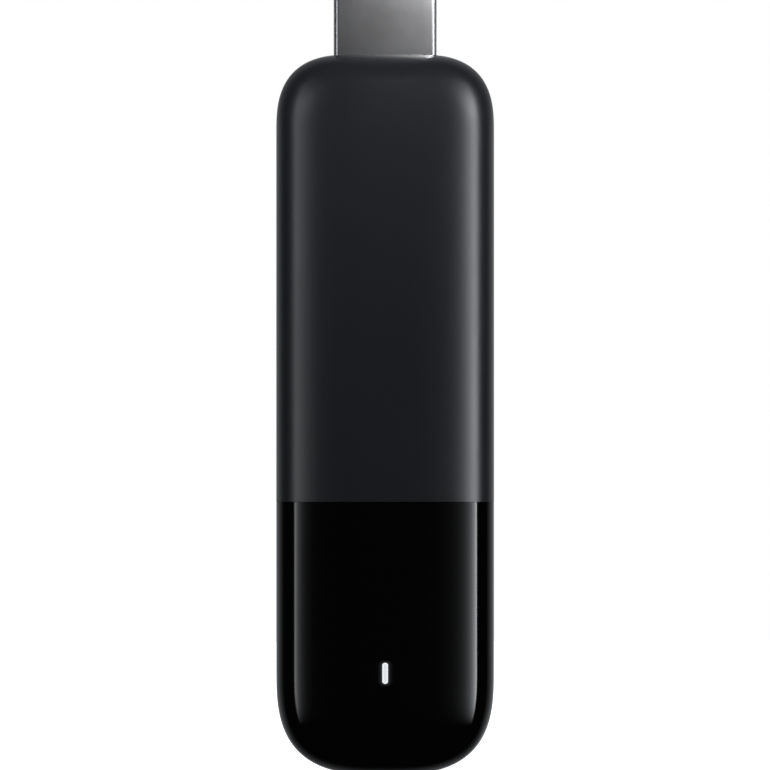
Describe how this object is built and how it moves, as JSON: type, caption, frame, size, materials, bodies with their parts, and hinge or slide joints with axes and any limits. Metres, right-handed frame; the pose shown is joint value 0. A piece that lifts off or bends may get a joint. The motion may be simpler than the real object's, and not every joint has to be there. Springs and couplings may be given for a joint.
{
  "type": "streaming media player",
  "caption": "Slim stick-shaped streaming player: matte and gloss black snap-fit housing, lit status pill, side power inlet, standard audio-video plug on one end and the board inside.",
  "frame": {"origin": "middle of the plug where it leaves the housing's top end", "axes": "+Z along the plug towards its tip, -Y out of the front face with the status light, +X to the side with the power inlet"},
  "size_m": [0.0294, 0.0154, 0.1088],
  "materials": {
    "matte_black": "fine matte texture",
    "gloss_black": "high gloss",
    "light_guide": "milky, lit from behind",
    "black_rubber": "soft, dull",
    "plated_steel": "nickel-plated, lightly brushed",
    "shield_steel": "tin-plated sheet",
    "contact_gold": "gold flash",
    "carrier_black": "moulded, fine grain",
    "board_green": "solder mask over glass laminate",
    "chip_black": "moulded epoxy",
    "aluminium": "rolled sheet",
    "thermal_pad": "soft filled silicone",
    "ferrite": "pressed powder",
    "capacitor_tan": "moulded resin",
    "led_white": "clear resin over a white package"
  },
  "bodies": {
    "root": {"front_cover": "matte_black", "back_cover": "matte_black", "front_cap": "gloss_black", "light_pipe": "light_guide", "light_shroud": "black_rubber", "status_led": "led_white", "plug_shell": "plated_steel", "plug_insulator": "carrier_black", "plug_contact_01": "contact_gold", "plug_contact_02": "contact_gold", "plug_contact_03": "contact_gold", "plug_contact_04": "contact_gold", "plug_contact_05": "contact_gold", "plug_contact_06": "contact_gold", "plug_contact_07": "contact_gold", "plug_contact_08": "contact_gold", "plug_contact_09": "contact_gold", "plug_contact_10": "contact_gold", "plug_contact_11": "contact_gold", "plug_contact_12": "contact_gold", "plug_contact_13": "contact_gold", "plug_contact_14": "contact_gold", "plug_contact_15": "contact_gold", "plug_contact_16": "contact_gold", "plug_contact_17": "contact_gold", "plug_contact_18": "contact_gold", "plug_contact_19": "contact_gold", "plug_collar": "shield_steel", "port_shell": "plated_steel", "port_tongue": "carrier_black", "port_contact_1": "contact_gold", "port_contact_2": "contact_gold", "port_contact_3": "contact_gold", "port_contact_4": "contact_gold", "port_contact_5": "contact_gold", "main_board": "board_green", "shield_frame_front": "shield_steel", "shield_lid_front": "shield_steel", "processor": "chip_black", "memory_chip_1": "chip_black", "memory_chip_2": "chip_black", "thermal_pad_front": "thermal_pad", "heat_spreader_front": "aluminium", "shield_frame_back": "shield_steel", "shield_lid_back": "shield_steel", "storage_chip": "chip_black", "power_chip": "chip_black", "thermal_pad_back": "thermal_pad", "heat_spreader_back": "aluminium", "wireless_module": "shield_steel", "antenna_left": "shield_steel", "antenna_right": "shield_steel", "clock_crystal": "shield_steel", "power_coil_1": "ferrite", "power_coil_2": "ferrite", "capacitor_1": "capacitor_tan", "capacitor_2": "capacitor_tan"}
  },
  "joints": []
}
